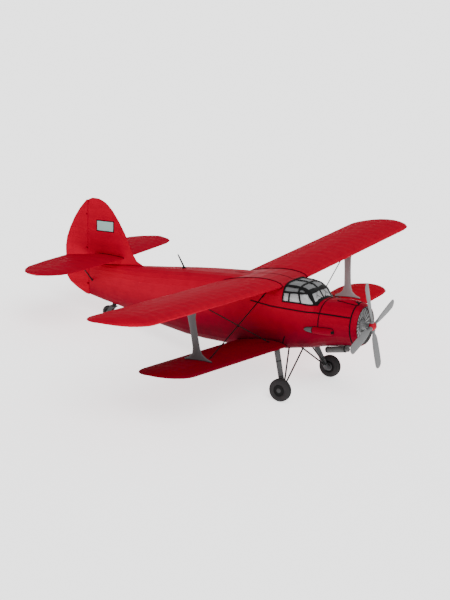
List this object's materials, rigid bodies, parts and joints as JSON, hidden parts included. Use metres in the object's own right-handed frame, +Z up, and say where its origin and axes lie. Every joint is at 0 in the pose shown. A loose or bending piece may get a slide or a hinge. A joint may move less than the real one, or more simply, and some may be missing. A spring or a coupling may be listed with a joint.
{
  "type": "biplane",
  "caption": "Utility biplane with a cowled radial engine, paddle-blade propeller, closed cockpit, freight cabin, fabric wings and a tail wheel.",
  "frame": {"origin": "on the ground under the middle of the bounding box, the aeroplane standing tail-down on its three wheels", "axes": "+X to its port side along the span, +Y aft from the propeller to the tail, +Z up"},
  "size_m": [18.211, 12.6034, 4.38],
  "materials": {
    "red_paint": "gloss",
    "red_fabric": "doped semi-gloss",
    "grey_paint": "satin",
    "shutter_grey": "satin",
    "blade_grey": "satin",
    "black_paint": "satin",
    "panel_black": "matt",
    "cabin_lining": "matt",
    "engine_iron": "matt",
    "canopy_glass": "clear",
    "tyre_rubber": "matt",
    "seat_cloth": "matt"
  },
  "bodies": {
    "airframe": {"aerial_mast": "black_paint", "cabin_floor": "cabin_lining", "cabin_section": "red_paint", "canopy_frame": "black_paint", "canopy_glass": "canopy_glass", "carburettor_intake": "red_paint", "cockpit_bulkhead": "cabin_lining", "control_columns": "black_paint", "cowl_shutters": "shutter_grey", "engine_block": "engine_iron", "engine_cowl": "red_paint", "exhaust_pipe": "grey_paint", "fin": "red_fabric", "flying_stay_port": "grey_paint", "flying_stay_starboard": "grey_paint", "gear_case": "engine_iron", "instrument_panel": "panel_black", "interplane_strut_port": "grey_paint", "interplane_strut_starboard": "grey_paint", "landing_stay_port": "grey_paint", "landing_stay_starboard": "grey_paint", "lower_wing_port": "red_fabric", "lower_wing_starboard": "red_fabric", "main_gear_port": "grey_paint", "main_gear_starboard": "grey_paint", "nose_section": "red_paint", "pilot_seat_port": "seat_cloth", "pilot_seat_starboard": "seat_cloth", "rear_bulkhead": "cabin_lining", "side_duct": "red_paint", "tail_cone": "red_paint", "tail_wheel_bracket": "grey_paint", "tailplane_port": "red_fabric", "tailplane_starboard": "red_fabric", "tailplane_strut_port": "grey_paint", "tailplane_strut_starboard": "grey_paint", "upper_wing_port": "red_fabric", "upper_wing_starboard": "red_fabric"},
    "propeller": {"propeller_hub": "red_paint", "propeller_blade_1": "blade_grey", "propeller_blade_2": "blade_grey", "propeller_blade_3": "blade_grey", "propeller_blade_4": "blade_grey"},
    "main_wheel_port": {"main_port_wheel_hub": "grey_paint", "main_port_tyre": "tyre_rubber"},
    "main_wheel_starboard": {"main_starboard_wheel_hub": "grey_paint", "main_starboard_tyre": "tyre_rubber"},
    "tail_fork": {"tail_wheel_fork": "grey_paint"},
    "tail_wheel": {"tail_wheel_hub": "grey_paint", "tail_tyre": "tyre_rubber"},
    "rudder": {"rudder": "red_fabric"},
    "elevator_port": {"elevator_port": "red_fabric"},
    "elevator_starboard": {"elevator_starboard": "red_fabric"},
    "aileron_port": {"aileron_port": "red_fabric"},
    "aileron_starboard": {"aileron_starboard": "red_fabric"},
    "upper_flap_port": {"upper_flap_port": "red_fabric"},
    "upper_flap_starboard": {"upper_flap_starboard": "red_fabric"},
    "lower_flap_port": {"lower_flap_port": "red_fabric"},
    "lower_flap_starboard": {"lower_flap_starboard": "red_fabric"},
    "cabin_door": {"cabin_door": "red_paint"}
  },
  "joints": [
    {"name": "propeller_spin", "type": "hinge", "parent": "airframe", "child": "propeller", "pos_m": [0, -6.03626, 2.87528], "axis": [0, 0.9852, -0.1713], "continuous": true},
    {"name": "main_wheel_port_spin", "type": "hinge", "parent": "airframe", "child": "main_wheel_port", "pos_m": [1.7, -3.97226, 0.385], "axis": [1, 0, 0], "continuous": true},
    {"name": "main_wheel_starboard_spin", "type": "hinge", "parent": "airframe", "child": "main_wheel_starboard", "pos_m": [-1.7, -3.97226, 0.385], "axis": [1, 0, 0], "continuous": true},
    {"name": "tail_wheel_swivel", "type": "hinge", "parent": "airframe", "child": "tail_fork", "pos_m": [0, 3.93005, 0.225], "axis": [0, 0, 1], "continuous": true},
    {"name": "tail_wheel_spin", "type": "hinge", "parent": "tail_fork", "child": "tail_wheel", "pos_m": [0, 4.13005, 0.225], "axis": [1, 0, 0], "continuous": true},
    {"name": "rudder_hinge", "type": "hinge", "parent": "airframe", "child": "rudder", "pos_m": [0, 5.09336, 0.92029], "axis": [0, 0.1713, 0.9852], "range_deg": [-28, 28]},
    {"name": "elevator_port_hinge", "type": "hinge", "parent": "airframe", "child": "elevator_port", "pos_m": [0, 4.91935, 2.13809], "axis": [1, 0, 0], "range_deg": [-22, 35]},
    {"name": "elevator_starboard_hinge", "type": "hinge", "parent": "airframe", "child": "elevator_starboard", "pos_m": [0, 4.91935, 2.13809], "axis": [1, 0, 0], "range_deg": [-22, 35]},
    {"name": "aileron_port_hinge", "type": "hinge", "parent": "airframe", "child": "aileron_port", "pos_m": [0.81988, -1.31097, 3.20313], "axis": [0.9987, 0.0087, 0.0498], "range_deg": [-25, 25]},
    {"name": "aileron_starboard_hinge", "type": "hinge", "parent": "airframe", "child": "aileron_starboard", "pos_m": [-0.81988, -1.31097, 3.20313], "axis": [0.9987, -0.0087, -0.0498], "range_deg": [-25, 25]},
    {"name": "upper_flap_port_hinge", "type": "hinge", "parent": "airframe", "child": "upper_flap_port", "pos_m": [0.81988, -1.31097, 3.20313], "axis": [-0.9987, -0.0087, -0.0498], "range_deg": [0, 40]},
    {"name": "upper_flap_starboard_hinge", "type": "hinge", "parent": "airframe", "child": "upper_flap_starboard", "pos_m": [-0.81988, -1.31097, 3.20313], "axis": [-0.9987, 0.0087, 0.0498], "range_deg": [0, 40]},
    {"name": "lower_flap_port_hinge", "type": "hinge", "parent": "airframe", "child": "lower_flap_port", "pos_m": [0.78883, -2.07526, 1.30741], "axis": [-0.998, -0.0108, -0.0619], "range_deg": [0, 40]},
    {"name": "lower_flap_starboard_hinge", "type": "hinge", "parent": "airframe", "child": "lower_flap_starboard", "pos_m": [-0.78883, -2.07526, 1.30741], "axis": [-0.998, 0.0108, 0.0619], "range_deg": [0, 40]},
    {"name": "cabin_door_hinge", "type": "hinge", "parent": "airframe", "child": "cabin_door", "pos_m": [0.8894, -0.8574, 1.95473], "axis": [0, -0.1713, -0.9852], "range_deg": [0, 95]}
  ],
  "couplings": [
    {"joint": "elevator_starboard_hinge", "follows": "elevator_port_hinge", "ratio": 1},
    {"joint": "aileron_starboard_hinge", "follows": "aileron_port_hinge", "ratio": -1},
    {"joint": "upper_flap_starboard_hinge", "follows": "upper_flap_port_hinge", "ratio": 1},
    {"joint": "lower_flap_port_hinge", "follows": "upper_flap_port_hinge", "ratio": 1},
    {"joint": "lower_flap_starboard_hinge", "follows": "upper_flap_port_hinge", "ratio": 1}
  ]
}
